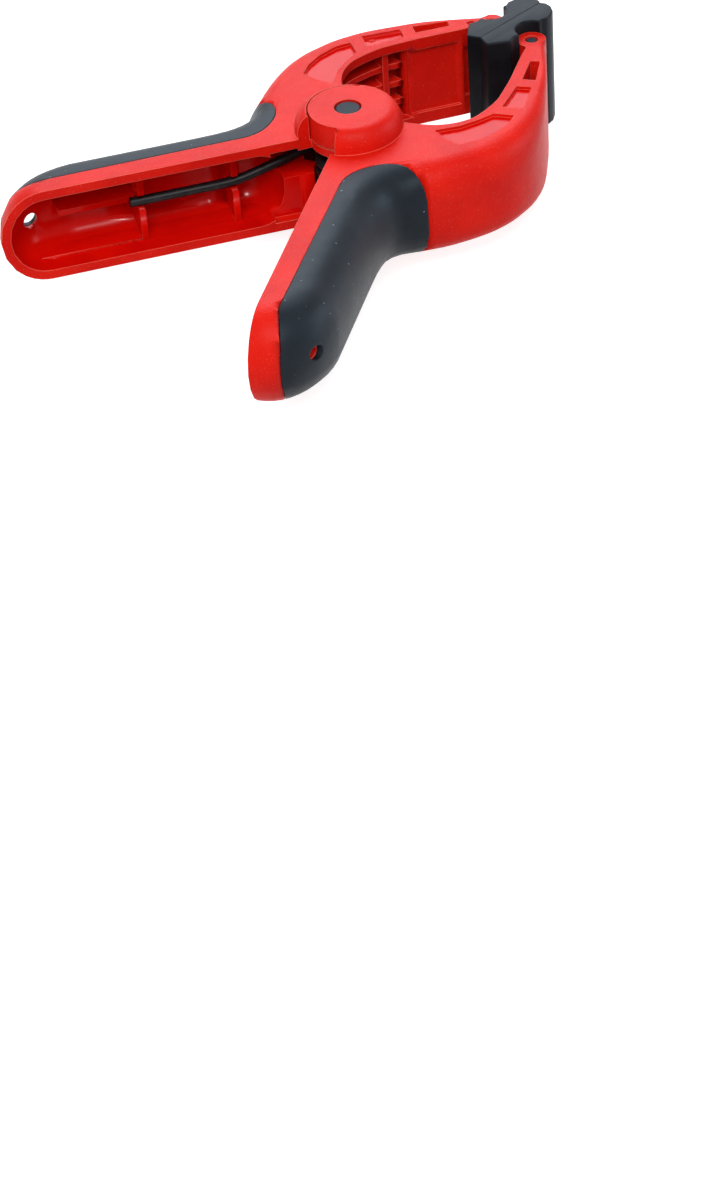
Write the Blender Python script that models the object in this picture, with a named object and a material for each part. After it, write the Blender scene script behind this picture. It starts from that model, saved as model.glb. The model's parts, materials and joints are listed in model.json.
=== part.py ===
# Spring clamp: two moulded lever arms turning on one pin, closed by a coiled spring.
# Everything is laid out round the pivot axis (Z), with the jaws towards +X and the rear
# arm on the +Y side.  The front arm is the rear arm turned half a turn about X.
import math

import bmesh
import bpy
from mathutils import Matrix, Vector

mm = 0.001

# ---- clearances ---------------------------------------------------------------
runningGap = 0.3 * mm          # between pieces that turn on each other
seatGap = 0.2 * mm             # between the soft grip and its seat
padFaceGap = 0.3 * mm          # between the two closed jaw pads

# ---- lever arm ----------------------------------------------------------------
armWidth = 28.6 * mm           # along the pivot axis
webThickness = 2.8 * mm        # top and bottom plates
wallThickness = 3.0 * mm       # outer wall and handle shell
handleAngle = 29.5             # degrees between a handle and the centre plane
handleReach = 101.4 * mm       # pivot to handle end, along the rim
handleDepth = 19.2 * mm        # rim to back
backRound = 11.0 * mm          # round along the back of the handle
rimOffset = 1.45 * mm          # rim line past the pivot
endRound = handleDepth - 0.4 * mm   # round of the handle end, seen from above
endStretch = 1.25              # length of the handle end's round over its depth
endSquare = 0.92               # the same for the round over the arm's width
jawRound = 7.5 * mm            # round along the outside of the jaw
tipRound = 1.6 * mm            # round along the outside near the knuckle
troughStart = 19.5 * mm        # pivot to the inner end of the handle trough
troughLedge = 0.7 * mm         # step in each side wall of the trough
ledgeDepth = 5.8 * mm
platformDepth = 3.0 * mm       # rim to the platform between the trough and the coil
platformTop = 0.8 * mm         # the wire's leg passes above it
platformStart = 112            # degrees, round the pivot
beyond = 60 * mm               # past every wall of an arm
hangHoleRadius = 2.15 * mm
hangHoleReach = handleReach - 10.6 * mm
hangHoleHeight = 2.2 * mm      # off the middle of the arm

# outside of the jaw from the knuckle to the shoulder, in mm
jawOutside = ((67.9, 12.6), (59.0, 21.3), (49.5, 29.3), (40.9, 36.0), (32.2, 40.5),
              (24.6, 42.2), (17.4, 42.0), (10.5, 40.3), (3.4, 37.6))

# throat edge of the jaw from the knuckle to the hub, in mm
throatEdge = ((62.6, 10.1), (59.0, 11.6), (52.5, 15.1), (46.9, 18.1), (41.0, 20.8), (36.4, 22.7),
              (31.0, 23.7), (26.5, 24.0), (23.1, 23.3), (19.4, 21.5), (16.0, 18.6), (13.4, 14.8),
              (11.3, 10.6))

# pockets in the webs, in mm
bigPocket = ((30.5, 26.8), (33.4, 32.0), (29.0, 33.7), (22.5, 33.9), (16.8, 32.6), (12.4, 30.3),
             (12.3, 25.6), (13.6, 19.9), (19.8, 23.9), (25.0, 25.6))
smallPocket = ((47.7, 25.6), (37.7, 31.7), (34.6, 26.3), (45.4, 22.0))
webSlot = ((59.7, 18.1), (51.1, 24.1), (49.1, 20.8), (58.1, 15.8))
pocketDepth = 1.1 * mm
tipPocket = (63.3, 12.0)
tipPocketRadius = 1.3 * mm
pocketMark = (39.1, 28.8)
pocketMarkRadius = 0.9 * mm
pocketMarkDepth = 0.3 * mm

# ---- hub ----------------------------------------------------------------------
hubHeight = 41.4 * mm          # over both bosses
bossRadius = 11.2 * mm
domeRadius = 15.3 * mm
earThickness = 2.6 * mm
collarGap = 0.45 * mm
domeStart = -150.7             # degrees, on the front arm seen from above
domeEnd = 27.0
collarStart = 28.4
collarEnd = 153.5
pivotPinRadius = 3.6 * mm
pinRecess = 0.4 * mm

# ---- jaw tip ------------------------------------------------------------------
knuckleX = 67.3 * mm
knuckleY = 8.0 * mm
knuckleRadius = 4.2 * mm
lugHalfHeight = 7.7 * mm
lugRadius = 2.9 * mm
forkReach = 9.0 * mm
padPinRadius = 1.65 * mm

# ---- jaw pad, outline in mm from the seam round the back ------------------------
padHalfHeight = 17.8 * mm
padFront = ((54.4, 0.0), (52.8, 3.8), (58.4, 8.2), (60.8, 7.2))
padBack = ((73.0, 6.9), (74.4, 7.6), (76.6, 7.3), (79.1, 5.8), (80.6, 3.7), (81.0, 1.5), (80.2, 0.0))

# ---- soft grip ----------------------------------------------------------------
gripThickness = 1.5 * mm
gripEdgeDepth = 6.0 * mm       # red strip left between the rim and the grip
gripEndDepth = 8.2 * mm
gripNose = ((-25.5, 20.4), (-21.5, 18.3), (-17.5, 17.6), (-13.4, 18.3), (-9.6, 20.0),
            (-6.6, 22.6), (-4.9, 25.8), (-4.6, 29.6), (-4.9, 34.0), (-5.4, 40.0))

# ---- torsion spring -----------------------------------------------------------
wireRadius = 1.4 * mm
coilRadius = 8.8 * mm
coilTurns = 4
coilPitch = 3.3 * mm
legReach = 63.0 * mm
legDepth = 8.0 * mm
legRoom = 3.2 * mm             # depth of the leg's way past the wire's middle
pointsPerTurn = 10

# ---- ribs ---------------------------------------------------------------------
ribThickness = 1.8 * mm
crossRibs = (33.0 * mm, 60.0 * mm)
crossRibDepth = 5.2 * mm
notchRoom = 1.6 * mm            # over the wire in the cross ribs, on the side away from the boss
guideRibDepth = 8.4 * mm
jawRibX = (38.0 * mm, 44.8 * mm)
panelEnd = 59.5 * mm
tipWebThickness = 3.8 * mm
ribRecess = 1.0 * mm
panelThickness = 2.0 * mm

levelAngles = (0, 20, 40, 55, 66, 75, 83, 90)

halfWidth = armWidth / 2
innerHalf = halfWidth - webThickness
earTop = halfWidth - 1.4 * mm
bossBottom = earTop + runningGap
hubTop = hubHeight / 2
handleDir = Vector((-math.cos(math.radians(handleAngle)), math.sin(math.radians(handleAngle))))
handleOut = Vector((math.sin(math.radians(handleAngle)), math.cos(math.radians(handleAngle))))
knuckle = Vector((knuckleX, knuckleY))


# ---- plan geometry --------------------------------------------------------------

def points(pairs):
    return [Vector((x * mm, y * mm)) for x, y in pairs]


def handlePoint(reach, depth):
    return handleDir * reach + handleOut * (depth - rimOffset)


def polar(radius, degrees):
    angle = math.radians(degrees)
    return Vector((radius * math.cos(angle), radius * math.sin(angle)))


def arc(centre, radius, start, end, steps):
    return [centre + polar(radius, start + (end - start) * i / steps) for i in range(steps + 1)]


def smooth(line, steps):
    # smooth curve through the given points
    result = []
    last = len(line) - 1
    for i in range(last):
        a = line[max(i - 1, 0)]
        b = line[i]
        c = line[i + 1]
        d = line[min(i + 2, last)]
        for k in range(steps):
            t = k / steps
            result.append(0.5 * (2 * b + (c - a) * t + (2 * a - 5 * b + 4 * c - d) * t ** 2
                                 + (3 * b - a - 3 * c + d) * t ** 3))
    result.append(line[-1])
    return result


def lineNormals(line):
    # unit vectors to the left of the line's direction
    result = []
    for i in range(len(line)):
        direction = line[min(i + 1, len(line) - 1)] - line[max(i - 1, 0)]
        result.append(Vector((-direction.y, direction.x)).normalized())
    return result


def shifted(line, distance):
    return [p + n * distance for p, n in zip(line, lineNormals(line))]


def outerLine():
    # outside of the arm from the knuckle to the handle end, as (point, inward, round)
    shoulder = [handlePoint(21.9 * mm, handleDepth + 8.7 * mm),
                handlePoint(26.6 * mm, handleDepth + 2.6 * mm),
                handlePoint(33.0 * mm, handleDepth + 0.4 * mm),
                handlePoint(42.0 * mm, handleDepth)]
    line = smooth(points(jawOutside) + shoulder, 3)
    result = []
    for p, inward in zip(line, lineNormals(line)):
        slim = min(max((p.x - 28 * mm) / (26 * mm), 0), 1)
        full = min(max((2 * mm - p.x) / (14 * mm), 0), 1)
        size = jawRound + (tipRound - jawRound) * slim
        result.append((p, inward, size + (backRound - size) * full))
    outAngle = 90 - handleAngle
    centre = handlePoint(handleReach - endRound * endStretch, handleDepth - endRound)
    for i in range(11):
        radial = polar(1, outAngle + 9 * i)
        along = handleDir * radial.dot(handleDir)
        spot = centre + (radial + along * (endStretch - 1)) * endRound
        inward = -radial - along * (endSquare - 1)
        result.append((spot, inward, backRound + (halfWidth - backRound) * i / 10))
    return result


def sharp(line):
    return [(p, Vector((0, 0)), 0) for p in line]


def inset(outline, distance):
    return [(p + inward * distance, inward, max(size - distance, 0)) for p, inward, size in outline]


def armOutline():
    rimStart = handlePoint(15.2 * mm, 0)
    hubSide = arc(Vector((0, 0)), domeRadius - 0.8 * mm, collarEnd - 3, 43, 10)
    throat = list(reversed(smooth(points(throatEdge), 3)))
    tip = arc(knuckle, knuckleRadius, 165, 410, 14)
    corner = (handlePoint(handleReach, 0), -handleDir * endSquare, halfWidth)
    return outerLine() + [corner] + sharp([rimStart] + hubSide + throat + tip)


# ---- solids ---------------------------------------------------------------------

def newObject(name, bm):
    bmesh.ops.recalc_face_normals(bm, faces=bm.faces)
    mesh = bpy.data.meshes.new(name)
    bm.to_mesh(mesh)
    bm.free()
    obj = bpy.data.objects.new(name, mesh)
    bpy.context.scene.collection.objects.link(obj)
    return obj


def stack(name, rings):
    # closed solid from rings of points, one above the other
    bm = bmesh.new()
    rows = [[bm.verts.new(p) for p in ring] for ring in rings]
    count = len(rows[0])
    for low, high in zip(rows, rows[1:]):
        for i in range(count):
            k = (i + 1) % count
            bm.faces.new((low[i], low[k], high[k], high[i]))
    bm.faces.new(list(reversed(rows[0])))
    bm.faces.new(rows[-1])
    return newObject(name, bm)


def loft(name, outline, half):
    # outline drawn in towards the top and bottom by each point's own round
    rings = []
    for angle in [-a for a in reversed(levelAngles)] + list(levelAngles[1:]):
        z = half * math.sin(math.radians(angle))
        ring = []
        for p, inward, size in outline:
            over = max(abs(z) - (half - size), 0)
            q = p + inward * (size - math.sqrt(max(size * size - over * over, 0)))
            ring.append((q.x, q.y, z))
        rings.append(ring)
    return stack(name, rings)


def prism(name, line, low, high):
    return stack(name, [[(p.x, p.y, low) for p in line], [(p.x, p.y, high) for p in line]])


def cylinder(name, centre, radius, low, high, steps):
    return prism(name, arc(centre, radius, 0, 360 * (steps - 1) / steps, steps - 1), low, high)


def sector(name, profile, start, end, steps):
    # profile of (radius, height) turned about the pivot axis
    rings = []
    for i in range(steps + 1):
        angle = math.radians(start + (end - start) * i / steps)
        rings.append([(r * math.cos(angle), r * math.sin(angle), z) for r, z in profile])
    return stack(name, rings)


def combine(target, tool, operation):
    modifier = target.modifiers.new("combine", "BOOLEAN")
    modifier.operation = operation
    modifier.solver = "EXACT"
    modifier.object = tool
    bpy.context.view_layer.update()
    evaluated = target.evaluated_get(bpy.context.evaluated_depsgraph_get())
    mesh = bpy.data.meshes.new_from_object(evaluated)
    target.modifiers.clear()
    old = target.data
    target.data = mesh
    bpy.data.meshes.remove(old)
    toolMesh = tool.data
    bpy.data.objects.remove(tool)
    bpy.data.meshes.remove(toolMesh)


def cut(target, tool):
    combine(target, tool, "DIFFERENCE")


def add(target, tool):
    combine(target, tool, "UNION")


def keep(target, tool):
    combine(target, tool, "INTERSECT")


def tidy(obj):
    bm = bmesh.new()
    bm.from_mesh(obj.data)
    bmesh.ops.remove_doubles(bm, verts=bm.verts, dist=0.002 * mm)
    bmesh.ops.dissolve_degenerate(bm, edges=bm.edges, dist=0.002 * mm)
    bmesh.ops.dissolve_limit(bm, angle_limit=math.radians(0.2), verts=bm.verts, edges=bm.edges)
    bmesh.ops.triangulate(bm, faces=[f for f in bm.faces if len(f.verts) > 4])
    for face in bm.faces:
        face.smooth = True
    for edge in bm.edges:
        edge.smooth = len(edge.link_faces) == 2 and edge.calc_face_angle(0) < math.radians(32)
    bm.to_mesh(obj.data)
    bm.free()


# ---- materials --------------------------------------------------------------------

def surface(name, colour, roughness, metallic):
    material = bpy.data.materials.new(name)
    material.use_nodes = True
    shader = material.node_tree.nodes["Principled BSDF"]
    shader.inputs["Base Color"].default_value = (*colour, 1)
    shader.inputs["Roughness"].default_value = roughness
    shader.inputs["Metallic"].default_value = metallic
    return material


# ---- lever arm --------------------------------------------------------------------

def gripRegion(margin):
    # plan of the soft grip, grown by the margin
    line = [handlePoint(handleReach + 20 * mm, gripEndDepth),
            handlePoint(handleReach - 4 * mm, gripEndDepth),
            handlePoint(handleReach - 12 * mm, gripEdgeDepth)] + smooth(points(gripNose), 3)
    grown = shifted(line, -margin)
    return grown + [grown[-1] + Vector((0, 20 * mm)), handlePoint(handleReach + 20 * mm, 60 * mm)]


def hangHole():
    hole = cylinder("hole", Vector((0, 0)), hangHoleRadius, 0, beyond, 20)
    spot = handlePoint(hangHoleReach, 0)
    hole.data.transform(Matrix.Translation((spot.x, spot.y, -hangHoleHeight))
                        @ Matrix.Rotation(math.radians(-handleAngle), 4, "Z")
                        @ Matrix.Rotation(math.radians(-90), 4, "X"))
    return hole


def gripSeat():
    seat = prism("seat", gripRegion(seatGap), -halfWidth - 1 * mm, halfWidth + 1 * mm)
    depth = gripThickness + seatGap
    cut(seat, loft("core", inset(armOutline(), depth), halfWidth - depth))
    return seat


def handleBox(name, near, far, low, high, bottom, top):
    # block given by reach along the handle, depth from the rim and height
    line = [handlePoint(near, low), handlePoint(far, low), handlePoint(far, high), handlePoint(near, high)]
    return prism(name, line, bottom, top)


def handleTrough():
    # hollow of the handle with its rounded ends, less the ribs that stand in it
    outAngle = 90 - handleAngle
    size = innerHalf * 0.8
    level = size - 1 * mm
    corner = handlePoint(troughStart + size, handleDepth - wallThickness - size)
    start = []
    for i in range(7):
        radial = polar(1, outAngle - 90 + 90 * i / 6)
        start.append((corner + radial * size, -radial, level))
    wall = inset(outerLine(), wallThickness)
    wall = [entry for entry in wall if entry[0].dot(handleDir) > 38 * mm]
    low = (handlePoint(troughStart, -3 * mm), handleDir, level)
    end = (handlePoint(handleReach - wallThickness * endSquare, -3 * mm), -handleDir * endSquare, wall[-1][2])
    trough = loft("trough", [low] + start + list(wall) + [end], innerHalf)
    for reach in crossRibs:
        rib = handleBox("rib", reach - ribThickness / 2, reach + ribThickness / 2,
                        crossRibDepth, beyond, -armWidth, armWidth)
        slot = wireRadius + runningGap
        cut(rib, handleBox("notch", reach - 3 * mm, reach + 3 * mm, 0, legDepth + slot, -slot, slot + notchRoom))
        cut(trough, rib)
    cut(trough, handleBox("guide", crossRibs[1], crossRibs[1] + 23 * mm, guideRibDepth + wireRadius,
                          beyond, -ribThickness / 2, ribThickness / 2))
    for sign in (-1, 1):
        low, high = sorted((sign * (innerHalf - troughLedge), sign * armWidth))
        cut(trough, handleBox("ledge", -beyond, handleReach, ledgeDepth, beyond, low, high))
    return trough


def jawCells():
    # hollow of the jaw, open towards the throat, less its ribs and inner panel
    wall = inset(outerLine(), wallThickness)
    wall = [entry for entry in wall if -5 * mm < entry[0].x < panelEnd]
    mouth = [Vector((wall[-1][0].x, 12 * mm)), Vector((14 * mm, 6 * mm)), Vector((30 * mm, 8 * mm)),
             Vector((panelEnd, 4 * mm))]
    cells = loft("cells", wall + sharp(mouth), innerHalf)
    throat = smooth(points(throatEdge), 3)
    face = shifted(throat, -ribRecess)
    back = shifted(throat, -ribRecess - panelThickness)
    lean = Vector((0.3, 0.954))
    side = Vector((lean.y, -lean.x)) * (ribThickness / 2)
    for x in (9 * mm,) + jawRibX:
        near = min(face, key=lambda p: abs(p.x - x)) if x > 12 * mm else Vector((x, 10 * mm))
        rib = [near - side, near + side, near + side + lean * beyond, near - side + lean * beyond]
        cut(cells, prism("rib", rib, -armWidth, armWidth))
    panel = [p for p in face if jawRibX[1] - 1 * mm < p.x]
    behind = [p for p in back if jawRibX[1] - 1 * mm < p.x]
    cut(cells, prism("panel", panel + behind[::-1], -armWidth, armWidth))
    tip = [Vector((jawRibX[1], 0)), Vector((knuckleX, 0)), Vector((knuckleX, beyond)),
           Vector((jawRibX[1], beyond))]
    thick = halfWidth - tipWebThickness
    cut(cells, prism("tipWeb", tip, thick, armWidth))
    cut(cells, prism("tipWeb", tip, -armWidth, -thick))
    front = [p for p in shifted(throat, -ribRecess - 0.8 * mm) if 15 * mm < p.x < jawRibX[1]]
    for level in (-1, 0, 1):
        z = level * innerHalf * 0.52
        shelf = front + [Vector((15 * mm, beyond)), Vector((jawRibX[1], beyond))]
        cut(cells, prism("shelf", shelf, z - ribThickness / 2, z + ribThickness / 2))
    return cells


def makeHub():
    # boss and dome under the arm, ear and collar on top, and the platform beside the coil
    centre = Vector((0, 0))
    inner = bossRadius + collarGap
    root = bossRadius - 0.6 * mm
    domeRun = domeRadius - bossRadius
    shell = [(bossRadius + domeRun * math.cos(math.radians(a)),
              halfWidth + (hubTop - halfWidth) * math.sin(math.radians(a))) for a in range(0, 91, 15)]
    dome = [(root, bossBottom), (inner, bossBottom), (inner, innerHalf), (domeRadius, innerHalf)] + shell
    dome = dome + [(root, hubTop)]
    hub = sector("dome", [(r, -z) for r, z in dome], -domeEnd, -domeStart, 30)
    add(hub, cylinder("boss", centre, bossRadius, -hubTop, -bossBottom, 48))
    earBottom = earTop - earThickness
    innerTop = halfWidth + (hubTop - halfWidth) * math.sqrt(1 - (collarGap / domeRun) ** 2)
    collar = [(root, earBottom), (domeRadius, earBottom)] + [p for p in shell if p[0] > inner]
    collar = collar + [(inner, innerTop), (inner, earTop), (root, earTop)]
    top = sector("collar", collar, collarStart, collarEnd, 24)
    add(top, cylinder("ear", centre, bossRadius - 0.1 * mm, earBottom, earTop, 48))
    outer = domeRadius - 0.2 * mm
    coilSide = coilRadius + wireRadius + 2 * seatGap
    earSide = inner + 0.25 * mm
    earLevel = runningGap - earBottom
    low = -innerHalf - 0.2 * mm
    profile = [(earSide, low), (outer, low), (outer, platformTop), (coilSide, platformTop),
               (coilSide, earLevel), (earSide, earLevel)]
    platform = sector("platform", profile, platformStart, 178 - handleAngle, 12)
    cut(platform, handleBox("step", -beyond, beyond, -beyond, platformDepth + 0.06 * mm, -armWidth, armWidth))
    add(hub, platform)
    add(hub, top)
    return hub


def makeArm():
    arm = loft("lever_arm_rear", armOutline(), halfWidth)
    cut(arm, gripSeat())
    cut(arm, handleTrough())
    cut(arm, jawCells())
    centre = Vector((0, 0))
    # housing of the spring coil, and the way of its leg into the trough
    cut(arm, cylinder("housing", centre, domeRadius - 0.4 * mm, -innerHalf, innerHalf, 48))
    far = troughStart + 5 * seatGap + wallThickness
    cut(arm, handleBox("run", 2 * mm, far, -4 * mm, legDepth + legRoom, platformTop, innerHalf))
    cut(arm, handleBox("step", 1 * mm, far - 0.1 * mm, -5 * mm, platformDepth, -innerHalf, innerHalf - 1 * mm))
    over = halfWidth + 5 * mm
    for sign in (-1, 1):
        low, high = sorted((sign * (halfWidth - pocketDepth), sign * over))
        for shape in (bigPocket, smallPocket):
            cut(arm, prism("pocket", points(shape), low, high))
    cut(arm, prism("slot", points(webSlot), -over, over))
    spot = Vector((tipPocket[0] * mm, tipPocket[1] * mm))
    cut(arm, cylinder("tipPocket", spot, tipPocketRadius, halfWidth - pocketDepth, over, 16))
    spot = Vector((pocketMark[0] * mm, pocketMark[1] * mm))
    markFloor = halfWidth - pocketDepth - pocketMarkDepth
    cut(arm, cylinder("mark", spot, pocketMarkRadius, markFloor, over, 16))
    add(arm, makeHub())
    cut(arm, cylinder("bore", centre, pivotPinRadius + runningGap, -hubHeight, hubHeight, 32))
    # fork for the pad lug, and the bores of the pad pin
    fork = lugHalfHeight + runningGap
    outside = arc(knuckle, lugRadius + runningGap, 340, 510, 18)
    cut(arm, prism("fork", outside + arc(knuckle, forkReach, 150, 340, 16), -fork, fork))
    cut(arm, cylinder("padBore", knuckle, padPinRadius + runningGap, -over, over, 20))
    cut(arm, hangHole())
    return arm


def makeGrip():
    grip = loft("grip_rear", armOutline(), halfWidth)
    keep(grip, prism("region", gripRegion(0), -halfWidth - 1 * mm, halfWidth + 1 * mm))
    cut(grip, loft("core", inset(armOutline(), gripThickness), halfWidth - gripThickness))
    cut(grip, hangHole())
    return grip


# ---- jaw pad ------------------------------------------------------------------------

def makePad():
    start = padFaceGap / 2
    socket = arc(knuckle, knuckleRadius + runningGap + 0.05 * mm, 186, 350, 12)
    line = [Vector((p.x, max(p.y, start))) for p in points(padFront) + socket + points(padBack)]
    pad = prism("jaw_pad_rear", line, -padHalfHeight, padHalfHeight)
    web = [Vector((knuckle.x - lugRadius, start + 0.6 * mm)), Vector((knuckle.x + lugRadius, start + 0.6 * mm)),
           Vector((knuckle.x + lugRadius, knuckle.y)), Vector((knuckle.x - lugRadius, knuckle.y))]
    add(pad, prism("web", web, -lugHalfHeight, lugHalfHeight))
    add(pad, cylinder("lug", knuckle, lugRadius, -lugHalfHeight, lugHalfHeight, 24))
    cut(pad, cylinder("bore", knuckle, padPinRadius + runningGap, -padHalfHeight, padHalfHeight, 20))
    return pad


# ---- pins ---------------------------------------------------------------------------

def makePin(name, centre, radius, half, steps):
    edge = 0.35 * mm
    rings = []
    for r, z in ((radius - edge, -half), (radius, edge - half), (radius, half - edge), (radius - edge, half)):
        ring = arc(centre, r, 0, 360 * (steps - 1) / steps, steps - 1)
        rings.append([(p.x, p.y, z) for p in ring])
    return stack(name, rings)


# ---- torsion spring -------------------------------------------------------------------

def springPath():
    # from the leg in the rear handle round the coil to the leg in the front handle
    bendReach = crossRibs[0] - 1 * mm
    bend = handlePoint(bendReach, legDepth)
    reachAngle = math.degrees(math.acos(coilRadius / bend.length))
    bendAngle = math.degrees(math.atan2(bend.y, bend.x))
    startAngle = bendAngle - reachAngle
    total = 2 * startAngle + 360 * coilTurns
    coilHalf = total / 360 * coilPitch / 2
    count = round(total / 360 * pointsPerTurn)
    coil = []
    for i in range(count + 1):
        p = polar(coilRadius, startAngle - total * i / count)
        coil.append(Vector((p.x, p.y, coilHalf * (1 - 2 * i / count))))
    end = handlePoint(legReach, legDepth)
    leg = [Vector((end.x, end.y, 0)), Vector((bend.x, bend.y, 0)).lerp(Vector((end.x, end.y, 0)), 0.12)]
    leg.append(Vector((bend.x, bend.y, 0)).lerp(coil[0], 0.10))
    leg.append(Vector((bend.x, bend.y, 0)).lerp(coil[0], 0.86))
    other = [Vector((p.x, -p.y, -p.z)) for p in reversed(leg)]
    return leg + coil + other, len(leg), len(coil)


def leastCoilGap(path, first, count):
    # distance between points of neighbouring turns, less the wire
    coil = path[first:first + count]
    least = 1.0
    for i, p in enumerate(coil):
        for q in coil[i + pointsPerTurn // 2:]:
            least = min(least, (p - q).length)
    return least - 2 * wireRadius


def makeSpring():
    path, first, count = springPath()
    curve = bpy.data.curves.new("torsion_spring", "CURVE")
    curve.dimensions = "3D"
    curve.bevel_depth = wireRadius
    curve.bevel_resolution = 1
    curve.use_fill_caps = True
    spline = curve.splines.new("POLY")
    spline.points.add(len(path) - 1)
    for point, p in zip(spline.points, path):
        point.co = (p.x, p.y, p.z, 1)
    obj = bpy.data.objects.new("torsion_spring", curve)
    bpy.context.scene.collection.objects.link(obj)
    print("least gap of the spring to itself, mm:", round(leastCoilGap(path, first, count) / mm, 3))
    return obj


# ---- assembly ---------------------------------------------------------------------------

def flipped(obj, name):
    # the same moulding turned half a turn about X
    copy = bpy.data.objects.new(name, obj.data.copy())
    copy.data.transform(Matrix.Rotation(math.pi, 4, "X"))
    bpy.context.scene.collection.objects.link(copy)
    return copy


def setOrigin(obj, origin):
    obj.data.transform(Matrix.Translation(-origin))
    obj.location = origin


def build():
    for obj in list(bpy.data.objects):
        bpy.data.objects.remove(obj)
    rear = [makeArm(), makeGrip(), makePad(),
            makePin("pad_pin_rear", knuckle, padPinRadius, halfWidth - 0.2 * mm, 20)]
    for obj in rear:
        tidy(obj)
    names = ("lever_arm_front", "grip_front", "jaw_pad_front", "pad_pin_front")
    front = [flipped(obj, name) for obj, name in zip(rear, names)]
    pin = makePin("pivot_pin", Vector((0, 0)), pivotPinRadius, hubTop - pinRecess, 32)
    tidy(pin)
    spring = makeSpring()
    red = (0.80, 0.06, 0.035)
    for group, side in ((rear, "rear"), (front, "front")):
        looks = (("arm_plastic_", red, 0.4, 0), ("grip_rubber_", (0.03, 0.035, 0.04), 0.75, 0),
                 ("pad_plastic_", (0.05, 0.055, 0.06), 0.6, 0), ("pad_pin_steel_", (0.1, 0.1, 0.11), 0.4, 1))
        for obj, (name, colour, roughness, metallic) in zip(group, looks):
            obj.data.materials.append(surface(name + side, colour, roughness, metallic))
    pin.data.materials.append(surface("pivot_pin_steel", (0.09, 0.095, 0.1), 0.4, 1))
    spring.data.materials.append(surface("spring_steel", (0.03, 0.03, 0.032), 0.35, 1))
    # stand the clamp on its lower boss, with the middle of its box at X 0
    reach = [v.co.x for obj in rear for v in obj.data.vertices]
    shift = Vector((-(min(reach) + max(reach)) / 2, 0, hubTop))
    padOrigin = Vector((knuckle.x, knuckle.y, 0))
    setOrigin(rear[2], padOrigin)
    setOrigin(front[2], Vector((knuckle.x, -knuckle.y, 0)))
    for obj in rear + front + [pin, spring]:
        obj.location = obj.location + shift
    print("pivot axis at X, mm:", round(shift.x / mm, 3), "height of the pivot centre:", round(hubTop / mm, 3))
    print("rear pad axis at, mm:", round((shift.x + knuckle.x) / mm, 3), round(knuckle.y / mm, 3))


build()
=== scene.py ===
# Looks of the spring clamp: moulded arms, soft grips, swivel pads, coiled spring, studio and camera
import json
import math

import bmesh
import bpy
from mathutils import Matrix, Vector


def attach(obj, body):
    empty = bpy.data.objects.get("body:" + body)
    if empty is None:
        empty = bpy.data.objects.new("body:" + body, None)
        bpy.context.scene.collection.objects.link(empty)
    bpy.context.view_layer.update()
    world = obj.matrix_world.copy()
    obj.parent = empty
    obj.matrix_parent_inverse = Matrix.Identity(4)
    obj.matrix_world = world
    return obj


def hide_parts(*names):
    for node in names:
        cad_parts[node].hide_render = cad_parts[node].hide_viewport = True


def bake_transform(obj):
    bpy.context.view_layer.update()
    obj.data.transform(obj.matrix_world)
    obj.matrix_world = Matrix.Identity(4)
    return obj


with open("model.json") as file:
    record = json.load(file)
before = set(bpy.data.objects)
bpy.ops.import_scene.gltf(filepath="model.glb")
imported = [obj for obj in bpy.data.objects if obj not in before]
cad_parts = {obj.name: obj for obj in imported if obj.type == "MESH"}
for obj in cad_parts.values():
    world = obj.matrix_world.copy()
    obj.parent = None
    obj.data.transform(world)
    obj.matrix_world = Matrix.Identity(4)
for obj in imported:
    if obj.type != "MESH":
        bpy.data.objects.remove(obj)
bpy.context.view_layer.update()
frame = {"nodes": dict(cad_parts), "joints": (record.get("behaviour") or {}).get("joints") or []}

mm = 0.001
sides = ("rear", "front")
jawJoint = next(j for j in frame["joints"] if j["name"] == "jaw_opening")
pivot = Vector(jawJoint["pos_m"])                     # centre of the pivot pin, halfway up

handle = {"tilt": math.radians(29.5),                 # from the centre plane
          "rimShift": 1.45 * mm}                      # from the pivot's centre out to the open rim
handleDir = Vector((-math.cos(handle["tilt"]), math.sin(handle["tilt"]), 0))
handleOut = Vector((math.sin(handle["tilt"]), math.cos(handle["tilt"]), 0))

merging = {"distance": 1e-6, "flat": math.radians(0.4)}
shading = {"sharp": 35, "weight": 60}                 # degrees, and how far large faces lead


def mergedCopy(node):
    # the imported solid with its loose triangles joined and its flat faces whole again
    bm = bmesh.new()
    bm.from_mesh(frame["nodes"][node].data)
    bmesh.ops.remove_doubles(bm, verts=bm.verts, dist=merging["distance"])
    bmesh.ops.dissolve_limit(bm, angle_limit=merging["flat"], verts=bm.verts, edges=bm.edges)
    return bm


def finishPiece(name, bm, body, materials, sharpAngle=shading["sharp"], replaced=(), weighted=False):
    mesh = bpy.data.meshes.new(name)
    bm.to_mesh(mesh)
    bm.free()
    piece = bpy.data.objects.new(name, mesh)
    bpy.context.scene.collection.objects.link(piece)
    for material in materials:
        mesh.materials.append(material)
    mesh.shade_smooth()
    mesh.set_sharp_from_angle(angle=math.radians(sharpAngle))
    if weighted:
        even = piece.modifiers.new("evenNormals", "WEIGHTED_NORMAL")
        even.keep_sharp = True
        even.weight = shading["weight"]
    if body:
        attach(piece, body)
    if replaced:
        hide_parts(*replaced)
    return piece


def turnedOver(point):
    # half a turn about the clamp's long axis, which takes one arm to the other
    return Vector((point.x, -point.y, -point.z))


def localOnArm(point, side):
    # reach along the handle, depth from the rim and height from the middle of an arm
    p = point - pivot
    if side == "front":
        p = turnedOver(p)
    return p.dot(handleDir), p.dot(handleOut) + handle["rimShift"], p.z


def handleOn(side, reach, depth):
    # the way back: a place in the middle of a handle, from the pivot
    p = handleDir * reach + handleOut * (depth - handle["rimShift"])
    return p if side == "rear" else turnedOver(p)


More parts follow.
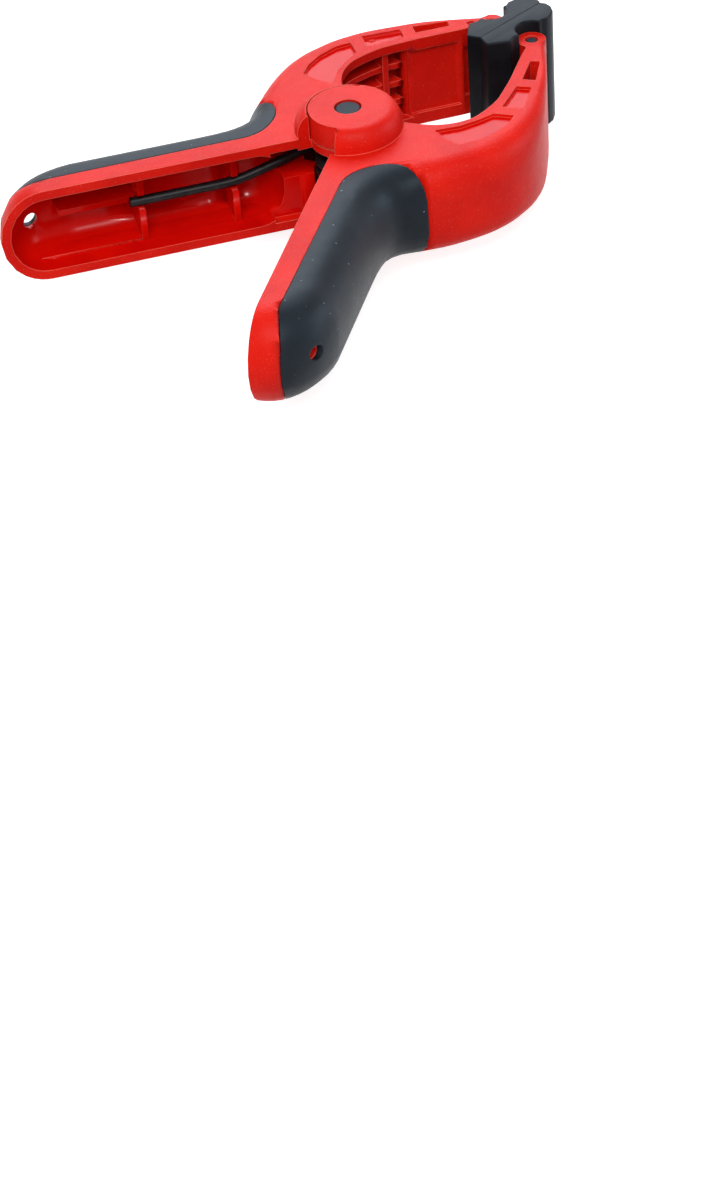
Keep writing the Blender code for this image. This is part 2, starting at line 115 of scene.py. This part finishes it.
def newMaterial(name, sockets):
    # sockets hold what is the same all over the surface
    material = bpy.data.materials.new(name)
    material.use_nodes = True
    shader = material.node_tree.nodes["Principled BSDF"]
    for socket, value in sockets.items():
        shader.inputs[socket].default_value = value
    return material, material.node_tree, shader


def noiseAt(tree, scale, detail):
    place = tree.nodes.new("ShaderNodeTexCoord")
    noise = tree.nodes.new("ShaderNodeTexNoise")
    noise.inputs["Scale"].default_value = scale
    noise.inputs["Detail"].default_value = detail
    tree.links.new(place.outputs["Object"], noise.inputs["Vector"])
    return noise.outputs["Fac"]


def rampOf(tree, source, stops):
    ramp = tree.nodes.new("ShaderNodeValToRGB")
    ends = ramp.color_ramp.elements
    for end, (position, colour) in zip((ends[0], ends[1]), (stops[0], stops[-1])):
        end.position = position
        end.color = (*colour, 1)
    for position, colour in stops[1:-1]:
        ramp.color_ramp.elements.new(position).color = (*colour, 1)
    tree.links.new(source, ramp.inputs["Fac"])
    return ramp.outputs["Color"]


def rangeOf(tree, source, result, taken=(0, 1)):
    # the taken part of the source, stretched over the result
    mapped = tree.nodes.new("ShaderNodeMapRange")
    mapped.inputs["From Min"].default_value, mapped.inputs["From Max"].default_value = taken
    mapped.inputs["To Min"].default_value, mapped.inputs["To Max"].default_value = result
    tree.links.new(source, mapped.inputs["Value"])
    return mapped.outputs["Result"]


def mixOver(tree, base, amount, colour):
    mix = tree.nodes.new("ShaderNodeMix")
    mix.data_type = "RGBA"
    factor, first, second = mix.inputs[0], mix.inputs[6], mix.inputs[7]      # the node's colour sockets
    second.default_value = (*colour, 1)
    tree.links.new(amount, factor)
    tree.links.new(base, first)
    return mix.outputs[2]


rounding = {"bumpSamples": 6, "maskSamples": 8,
            "maskFull": 0.85}                         # cosine at which an edge line is strongest


def roundedNormal(tree, radius, samples):
    soft = tree.nodes.new("ShaderNodeBevel")
    soft.samples = samples
    soft.inputs["Radius"].default_value = radius
    return soft.outputs["Normal"]


def bumpFrom(tree, heights, edge=0):
    # one bump after another, on edges rounded in shading
    last = roundedNormal(tree, edge, rounding["bumpSamples"]) if edge else None
    for source, (strength, distance) in heights:
        bump = tree.nodes.new("ShaderNodeBump")
        bump.inputs["Strength"].default_value = strength
        bump.inputs["Distance"].default_value = distance
        tree.links.new(source, bump.inputs["Height"])
        if last:
            tree.links.new(last, bump.inputs["Normal"])
        last = bump.outputs["Normal"]
    return last


def edgeMask(tree, look):
    # where the rounded normal leaves the flat one: a thin line along every edge, where a painted highlight
    # or painted shade is laid
    flat = tree.nodes.new("ShaderNodeNewGeometry")
    match = tree.nodes.new("ShaderNodeVectorMath")
    match.operation = "DOT_PRODUCT"
    soft = roundedNormal(tree, look["paintedEdgeRadius"], rounding["maskSamples"])
    tree.links.new(soft, match.inputs[0])
    tree.links.new(flat.outputs["Normal"], match.inputs[1])
    cosines = (look["paintedEdgeStart"], rounding["maskFull"])
    return rangeOf(tree, match.outputs["Value"], (0, look["paintedEdgeMost"]), cosines)


# in the finishes below a noise is (scale, detail), a bump is (strength, distance), and each tone stands
# after its place on the noise
satinRed = {"tone": (55, 3), "tones": ((0.35, (0.68, 0.006, 0.002)), (0.68, (0.80, 0.012, 0.004))),
            "speck": (2700, 1), "speckFrom": (0.66, 0.80), "speckMost": 0.3,
            "speckColour": (1.0, 0.30, 0.22),
            # a painted highlight: a lighter red laid along every edge
            "paintedEdgeRadius": 0.45 * mm, "paintedEdgeStart": 0.985, "paintedEdgeMost": 0.6, "paintedEdgeColour": (1.0, 0.24, 0.17),
            "flow": (420, 3), "flowBump": (0.25, 0.14 * mm), "roughness": (0.38, 0.52),
            "grain": (1700, 3), "grainBump": (1.0, 0.12 * mm), "edge": 0.45 * mm,
            "sockets": {"Specular IOR Level": 0.10}}


def makeSatinRed():
    # glass-filled moulding: fine grain, slow change of tone, pale specks, and a painted highlight that
    # makes every edge lighter
    material, tree, shader = newMaterial("satin_red_moulding", satinRed["sockets"])
    base = rampOf(tree, noiseAt(tree, *satinRed["tone"]), satinRed["tones"])
    speck = noiseAt(tree, *satinRed["speck"])
    speckAmount = rangeOf(tree, speck, (0, satinRed["speckMost"]), satinRed["speckFrom"])
    specked = mixOver(tree, base, speckAmount, satinRed["speckColour"])
    # the painted highlight mixed in along the edges
    edgeHighlighted = mixOver(tree, specked, edgeMask(tree, satinRed), satinRed["paintedEdgeColour"])
    tree.links.new(edgeHighlighted, shader.inputs["Base Color"])
    grain = noiseAt(tree, *satinRed["grain"])
    flow = noiseAt(tree, *satinRed["flow"])
    tree.links.new(rangeOf(tree, flow, satinRed["roughness"]), shader.inputs["Roughness"])
    bumps = ((grain, satinRed["grainBump"]), (flow, satinRed["flowBump"]))
    tree.links.new(bumpFrom(tree, bumps, satinRed["edge"]), shader.inputs["Normal"])
    return material


# the tones are darker and deeper than the satin red's: painted shade for the hollows they are put in
glossRed = {"tone": (90, 3), "tones": ((0.3, (0.62, 0.002, 0.001)), (0.7, (0.74, 0.004, 0.001))),
            "paintedEdgeRadius": 0.40 * mm, "paintedEdgeStart": 0.985, "paintedEdgeMost": 0.22, "paintedEdgeColour": (1.0, 0.10, 0.07),
            "flow": (160, 2), "flowBump": (0.12, 0.25 * mm), "roughness": (0.14, 0.24), "edge": 0.5 * mm,
            "sockets": {"Specular IOR Level": 0.09}}


def makeGlossRed():
    # polished side of the mould: the inside of the handle troughs and the floors of the pockets, in a
    # darker, deeper red than the satin that is painted shade for these hollows, with a painted highlight
    # along the edges
    material, tree, shader = newMaterial("gloss_red_moulding", glossRed["sockets"])
    base = rampOf(tree, noiseAt(tree, *glossRed["tone"]), glossRed["tones"])
    # the painted highlight mixed in along the edges
    edgeHighlighted = mixOver(tree, base, edgeMask(tree, glossRed), glossRed["paintedEdgeColour"])
    tree.links.new(edgeHighlighted, shader.inputs["Base Color"])
    flow = noiseAt(tree, *glossRed["flow"])
    tree.links.new(rangeOf(tree, flow, glossRed["roughness"]), shader.inputs["Roughness"])
    tree.links.new(bumpFrom(tree, ((flow, glossRed["flowBump"]),), glossRed["edge"]),
                   shader.inputs["Normal"])
    return material


softGrip = {"cloud": (55, 5),
            "tones": ((0.3, (0.0026, 0.0038, 0.0058)), (0.75, (0.0110, 0.0145, 0.0200))),
            "dust": (900, 1), "dustFrom": (0.765, 0.80), "dustMost": 0.8, "dustColour": (0.26, 0.29, 0.32),
            # painted shade: a near-black line laid along every edge
            "paintedEdgeRadius": 0.40 * mm, "paintedEdgeStart": 0.98, "paintedEdgeMost": 0.8, "paintedEdgeColour": (0.001, 0.001, 0.0015),
            "wave": (70, 2), "waveBump": (0.5, 0.9 * mm), "roughness": (0.40, 0.52),
            "grain": (2300, 3), "grainBump": (0.45, 0.07 * mm), "edge": 0.5 * mm,
            "sockets": {"Specular IOR Level": 0.165, "Specular Tint": (0.72, 0.86, 1.0, 1),
                        "Sheen Weight": 0.02, "Sheen Tint": (0.72, 0.86, 1.0, 1)}}


def makeSoftGrip():
    # soft rubber: matte, faint clouding, dust specks, a slightly uneven skin, and painted shade that makes
    # every edge dark
    material, tree, shader = newMaterial("soft_grip_rubber", softGrip["sockets"])
    cloud = noiseAt(tree, *softGrip["cloud"])
    base = rampOf(tree, cloud, softGrip["tones"])
    dust = noiseAt(tree, *softGrip["dust"])
    dustAmount = rangeOf(tree, dust, (0, softGrip["dustMost"]), softGrip["dustFrom"])
    dusted = mixOver(tree, base, dustAmount, softGrip["dustColour"])
    # the painted shade mixed in along the edges
    edgeShaded = mixOver(tree, dusted, edgeMask(tree, softGrip), softGrip["paintedEdgeColour"])
    tree.links.new(edgeShaded, shader.inputs["Base Color"])
    grain = noiseAt(tree, *softGrip["grain"])
    tree.links.new(rangeOf(tree, cloud, softGrip["roughness"]), shader.inputs["Roughness"])
    wave = noiseAt(tree, *softGrip["wave"])
    bumps = ((wave, softGrip["waveBump"]), (grain, softGrip["grainBump"]))
    tree.links.new(bumpFrom(tree, bumps, softGrip["edge"]), shader.inputs["Normal"])
    return material


padPlastic = {"cloud": (130, 4),
              "tones": ((0.3, (0.0040, 0.0048, 0.0062)), (0.75, (0.0095, 0.0115, 0.0145))),
              "roughness": (0.38, 0.52),
              "grain": (2200, 3), "grainBump": (0.45, 0.08 * mm), "edge": 0.5 * mm,
              "sockets": {"Specular IOR Level": 0.115, "Specular Tint": (0.76, 0.88, 1.0, 1)}}


def makePadPlastic():
    # hard plastic with a fine, even grain
    material, tree, shader = newMaterial("pad_plastic", padPlastic["sockets"])
    cloud = noiseAt(tree, *padPlastic["cloud"])
    tree.links.new(rampOf(tree, cloud, padPlastic["tones"]), shader.inputs["Base Color"])
    grain = noiseAt(tree, *padPlastic["grain"])
    tree.links.new(rangeOf(tree, cloud, padPlastic["roughness"]), shader.inputs["Roughness"])
    tree.links.new(bumpFrom(tree, ((grain, padPlastic["grainBump"]),), padPlastic["edge"]),
                   shader.inputs["Normal"])
    return material


pinSteel = {"cloud": (700, 4), "tones": ((0.3, (0.009, 0.012, 0.019)), (0.75, (0.024, 0.031, 0.043))),
            "roughness": (0.45, 0.68), "cloudBump": (0.25, 0.06 * mm), "edge": 0.25 * mm,
            "sockets": {"Metallic": 0.2, "Specular IOR Level": 0.15}}


def makePinSteel():
    # dark oxidised steel
    material, tree, shader = newMaterial("dark_pin_steel", pinSteel["sockets"])
    cloud = noiseAt(tree, *pinSteel["cloud"])
    tree.links.new(rampOf(tree, cloud, pinSteel["tones"]), shader.inputs["Base Color"])
    tree.links.new(rangeOf(tree, cloud, pinSteel["roughness"]), shader.inputs["Roughness"])
    tree.links.new(bumpFrom(tree, ((cloud, pinSteel["cloudBump"]),), pinSteel["edge"]),
                   shader.inputs["Normal"])
    return material


springWire = {"wear": (520, 5),
              "tones": ((0.35, (0.005, 0.005, 0.006)), (0.62, (0.014, 0.014, 0.016)),
                        (0.78, (0.045, 0.042, 0.04))),
              "roughness": (0.36, 0.54), "wearBump": (0.15, 0.05 * mm),
              "sockets": {"Metallic": 0.15, "Specular IOR Level": 0.2}}


def makeSpringWire():
    # black oiled spring wire with worn spots
    material, tree, shader = newMaterial("black_spring_wire", springWire["sockets"])
    wear = noiseAt(tree, *springWire["wear"])
    tree.links.new(rampOf(tree, wear, springWire["tones"]), shader.inputs["Base Color"])
    tree.links.new(rangeOf(tree, wear, springWire["roughness"]), shader.inputs["Roughness"])
    tree.links.new(bumpFrom(tree, ((wear, springWire["wearBump"]),)), shader.inputs["Normal"])
    return material


finishes = {"red": makeSatinRed(), "gloss": makeGlossRed(), "grip": makeSoftGrip(), "pad": makePadPlastic(),
            "pin": makePinSteel(), "wire": makeSpringWire()}
print("materials made")


armLook = {"rim": 0.3 * mm, "troughFloor": 16.6 * mm, "troughHalf": 11.7 * mm, "troughStart": 4 * mm,
           "endStart": 80 * mm, "endMiddle": 8 * mm,  # reach and depth from which the round end opens
           "pocketFloor": 13.2 * mm, "pocketNear": 0.1 * mm,
           "level": 0.99}                             # least upright part of a level face's normal


def isInTrough(face, side):
    centre = face.calc_center_median()
    reach, depth, height = localOnArm(centre, side)
    inside = armLook["rim"] < depth < armLook["troughFloor"] and abs(height) < armLook["troughHalf"]
    if reach > armLook["endStart"]:                   # only what faces back into the hollow
        middle = pivot + handleOn(side, armLook["endStart"], armLook["endMiddle"])
        inside = inside and face.normal.dot(middle - centre) > 0
    return inside and armLook["troughStart"] < reach


def isPocketFloor(face):
    height = abs(face.calc_center_median().z - pivot.z)
    isLevel = abs(face.normal.z) > armLook["level"]
    return isLevel and abs(height - armLook["pocketFloor"]) < armLook["pocketNear"]


def makeArm(side):
    bm = mergedCopy("lever_arm_" + side)
    for face in bm.faces:
        if isInTrough(face, side) or isPocketFloor(face):
            face.material_index = 1                   # gloss red with its painted shade, the second of the arm's two finishes
    return finishPiece("arm_moulding_" + side, bm, side + "_arm", (finishes["red"], finishes["gloss"]),
                       replaced=("lever_arm_" + side,), weighted=True)


for side in sides:
    makeArm(side)
print("arms made")


def makeGrip(side):
    return finishPiece("soft_grip_" + side, mergedCopy("grip_" + side), side + "_arm", (finishes["grip"],),
                       replaced=("grip_" + side,), weighted=True)


for side in sides:
    makeGrip(side)
print("grips made")


padLook = {"seam": 0.25 * mm, "bite": 0.02 * mm, "round": 0.45 * mm, "segments": 3, "shortest": 0.5 * mm,
           "sharp": 24, "seamEdges": 0.3 * mm}


def roundPadEdges(bm):
    # small moulded round on the sharp edges, not on those of the closed seam
    edges = [e for e in bm.edges if e.is_manifold and e.calc_face_angle(0) > math.radians(padLook["sharp"])
             and e.calc_length() > padLook["shortest"]
             and max(abs(v.co.y) for v in e.verts) > padLook["seamEdges"]]
    bmesh.ops.bevel(bm, geom=edges, offset=padLook["round"], offset_type="OFFSET",
                    segments=padLook["segments"], profile=0.5, affect="EDGES", material=-1,
                    clamp_overlap=False)


def makePad(side):
    bm = mergedCopy("jaw_pad_" + side)
    for vert in bm.verts:
        if abs(vert.co.y) < padLook["seam"]:
            vert.co.y = math.copysign(padLook["bite"], vert.co.y)           # the closed jaws bite shut
    roundPadEdges(bm)
    return finishPiece("swivel_pad_" + side, bm, side + "_pad", (finishes["pad"],),
                       replaced=("jaw_pad_" + side,))


def finishPin(node):
    pin = frame["nodes"][node]
    pin.data.materials.clear()
    pin.data.materials.append(finishes["pin"])


for side in sides:
    makePad(side)
    finishPin("pad_pin_" + side)
finishPin("pivot_pin")
print("pads and pins made")


springSize = {"wireRadius": 1.4 * mm, "coilRadius": 8.8 * mm, "pitch": 3.3 * mm, "turns": 4,
              "bendReach": 32 * mm, "legReach": 63 * mm, "legDepth": 8 * mm,
              "bendRound": 5 * mm, "bendSteps": 10,
              "legShare": 0.86,                       # of the way from the bend to the coil, drawn straight
              "perTurn": 40, "wireSides": 14, "endRound": 0.3 * mm, "endSegments": 3, "sharp": 40,
              "blendReach": 9 * mm}                   # across the pivot, from one arm to the other


def springRoute():
    # leg in the rear trough, bend, coil round the pin, and the same turned over for the front arm
    bend = handleOn("rear", springSize["bendReach"], springSize["legDepth"])
    lean = math.acos(springSize["coilRadius"] / bend.length)
    first = math.atan2(bend.y, bend.x) - lean         # where the leg meets the coil as a tangent
    total = 2 * first + 2 * math.pi * springSize["turns"]
    half = total / (2 * math.pi) * springSize["pitch"] / 2
    count = round(total / (2 * math.pi) * springSize["perTurn"])
    coil = []
    for i in range(count + 1):
        angle = first - total * i / count
        coil.append(Vector((springSize["coilRadius"] * math.cos(angle),
                            springSize["coilRadius"] * math.sin(angle), half * (1 - 2 * i / count))))
    end = handleOn("rear", springSize["legReach"], springSize["legDepth"])
    early = bend + (end - bend).normalized() * springSize["bendRound"]
    late = bend + (coil[0] - bend).normalized() * springSize["bendRound"]
    leg = [end]
    for i in range(springSize["bendSteps"] + 1):
        t = i / springSize["bendSteps"]
        leg.append(early.lerp(bend, t).lerp(bend.lerp(late, t), t))
    leg.append(bend.lerp(coil[0], springSize["legShare"]))
    other = [turnedOver(p) for p in reversed(leg)]
    return [p + pivot for p in leg + coil + other]


def makeSpring():
    # a ring of the wire's section, drawn along the route
    route = springRoute()
    bm = bmesh.new()
    circle = bmesh.ops.create_circle(bm, cap_ends=False, segments=springSize["wireSides"],
                                     radius=springSize["wireRadius"])
    ring = circle["verts"]
    heading = (route[1] - route[0]).normalized()
    turn = Vector((0, 0, 1)).rotation_difference(heading).to_matrix().to_4x4()
    bmesh.ops.transform(bm, matrix=Matrix.Translation(route[0]) @ turn, verts=ring)
    ends = [bm.faces.new(ring)]
    edges = list({e for v in ring for e in v.link_edges})
    for i in range(1, len(route)):
        step = bmesh.ops.extrude_edge_only(bm, edges=edges)["geom"]
        ring = [g for g in step if isinstance(g, bmesh.types.BMVert)]
        edges = [g for g in step if isinstance(g, bmesh.types.BMEdge)]
        ahead = (route[min(i + 1, len(route) - 1)] - route[i - 1]).normalized()
        bend = heading.rotation_difference(ahead).to_matrix().to_4x4()
        move = Matrix.Translation(route[i]) @ bend @ Matrix.Translation(-route[i - 1])
        bmesh.ops.transform(bm, matrix=move, verts=ring)
        heading = ahead
    closing = bmesh.ops.holes_fill(bm, edges=edges)["faces"]
    bmesh.ops.recalc_face_normals(bm, faces=bm.faces)
    rims = [e for f in ends + closing for e in f.edges]
    bmesh.ops.bevel(bm, geom=rims, offset=springSize["endRound"], segments=springSize["endSegments"],
                    profile=0.5, affect="EDGES", material=-1)
    piece = finishPiece("spring_wire", bm, None, (finishes["wire"],), springSize["sharp"])
    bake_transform(piece)
    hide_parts("torsion_spring")
    return piece


makeSpring()
print("spring made")


studio = {"floorSize": 6.0, "paperColour": 0.6, "paperRoughness": 0.9, "paperGlow": 0.85,
          "world": 0.28, "worldSeen": 1.0, "aim": (0, 0, 0.02)}
coolWhite = (0.80, 0.90, 1.0)
plainWhite = (1.0, 1.0, 1.0)
lamps = {"backBox": {"place": (0.56, 0.60, 0.70), "size": 0.75, "power": 9.0, "colour": coolWhite},
         "sheenBox": {"place": (0.56, 0.60, 0.70), "size": 0.75, "power": 3.6, "colour": coolWhite,
                      "lit": False},
         "frontBox": {"place": (-0.56, -0.46, 1.00), "size": 0.8, "power": 11.0, "mirrored": False},
         "sideBox": {"place": (0.9, -0.7, 0.35), "size": 0.5, "power": 6.0, "colour": coolWhite,
                     "lit": False},
         "keyBox": {"place": (-0.45, -0.75, 0.95), "size": 0.14, "power": 10.0, "lit": False}}


def seenDirectly(tree):
    # one where the camera, a reflection or a view through something looks, nought for plain light
    path = tree.nodes.new("ShaderNodeLightPath")
    seen = path.outputs["Is Camera Ray"]
    for name in ("Is Glossy Ray", "Is Transmission Ray"):
        highest = tree.nodes.new("ShaderNodeMath")
        highest.operation = "MAXIMUM"
        tree.links.new(seen, highest.inputs[0])
        tree.links.new(path.outputs[name], highest.inputs[1])
        seen = highest.outputs[0]
    return seen


def makeFloor():
    # white paper that keeps the clamp's shadow
    bm = bmesh.new()
    bmesh.ops.create_grid(bm, x_segments=1, y_segments=1, size=studio["floorSize"] / 2)
    mesh = bpy.data.meshes.new("floor")
    bm.to_mesh(mesh)
    bm.free()
    floor = bpy.data.objects.new("floor", mesh)
    bpy.context.scene.collection.objects.link(floor)
    grey = studio["paperColour"]
    material, tree, shader = newMaterial("white_paper", {"Base Color": (grey, grey, grey, 1),
                                                         "Roughness": studio["paperRoughness"],
                                                         "Emission Color": (*plainWhite, 1)})
    strength = rangeOf(tree, seenDirectly(tree), (0, studio["paperGlow"]))
    tree.links.new(strength, shader.inputs["Emission Strength"])
    mesh.materials.append(material)


def whiteWorld():
    # plain light for the object, pure white where the camera or a reflection looks past it
    world = bpy.data.worlds.new("studio")
    bpy.context.scene.world = world
    world.use_nodes = True
    tree = world.node_tree
    background = tree.nodes["Background"]
    background.inputs["Color"].default_value = (*plainWhite, 1)
    strength = rangeOf(tree, seenDirectly(tree), (studio["world"], studio["worldSeen"]))
    tree.links.new(strength, background.inputs["Strength"])


def softBox(name, place, size, power, colour=plainWhite, mirrored=True, lit=True):
    # a square lamp aimed at the clamp; it can be kept out of reflections, or be seen in them alone
    light = bpy.data.lights.new(name, "AREA")
    light.shape = "SQUARE"
    light.size = size
    light.energy = power
    light.color = colour
    lamp = bpy.data.objects.new(name, light)
    bpy.context.scene.collection.objects.link(lamp)
    lamp.location = place
    lamp.visible_glossy = mirrored
    lamp.visible_diffuse = lit
    lamp.rotation_euler = (Vector(studio["aim"]) - Vector(place)).to_track_quat("-Z", "Y").to_euler()


makeFloor()
whiteWorld()
for name, lamp in lamps.items():
    softBox(name, **lamp)
print("studio made")


# the photograph's own view: angles in degrees, lens and sensor height in millimetres, and where the
# pivot lies from the camera
view = {"elevation": 39.12, "azimuth": 43.15, "roll": 4.23, "lens": 105.0, "sensor": 36, "clipEnd": 20,
        "distance": 985.865 * mm, "right": 0.4 * mm, "up": 121.137 * mm}


def makeCamera():
    elevation = math.radians(view["elevation"])
    azimuth = math.radians(view["azimuth"])
    roll = math.radians(view["roll"])
    flat = Vector((math.sin(azimuth), math.cos(azimuth), 0))
    forward = flat * math.cos(elevation) - Vector((0, 0, math.sin(elevation)))
    level = Vector((math.cos(azimuth), -math.sin(azimuth), 0))
    over = level.cross(forward)
    right = level * math.cos(roll) - over * math.sin(roll)
    up = level * math.sin(roll) + over * math.cos(roll)
    data = bpy.data.cameras.new("camera")
    data.sensor_fit = "VERTICAL"
    data.sensor_height = view["sensor"]
    data.lens = view["lens"]
    data.clip_end = view["clipEnd"]
    camera = bpy.data.objects.new("camera", data)
    bpy.context.scene.collection.objects.link(camera)
    place = pivot - (right * view["right"] + up * view["up"] + forward * view["distance"])
    turn = Matrix((right, up, -forward)).transposed().to_4x4()
    camera.matrix_world = Matrix.Translation(place) @ turn
    bpy.context.scene.camera = camera


makeCamera()
bpy.context.scene.view_settings.view_transform = "Standard"
print("camera made")
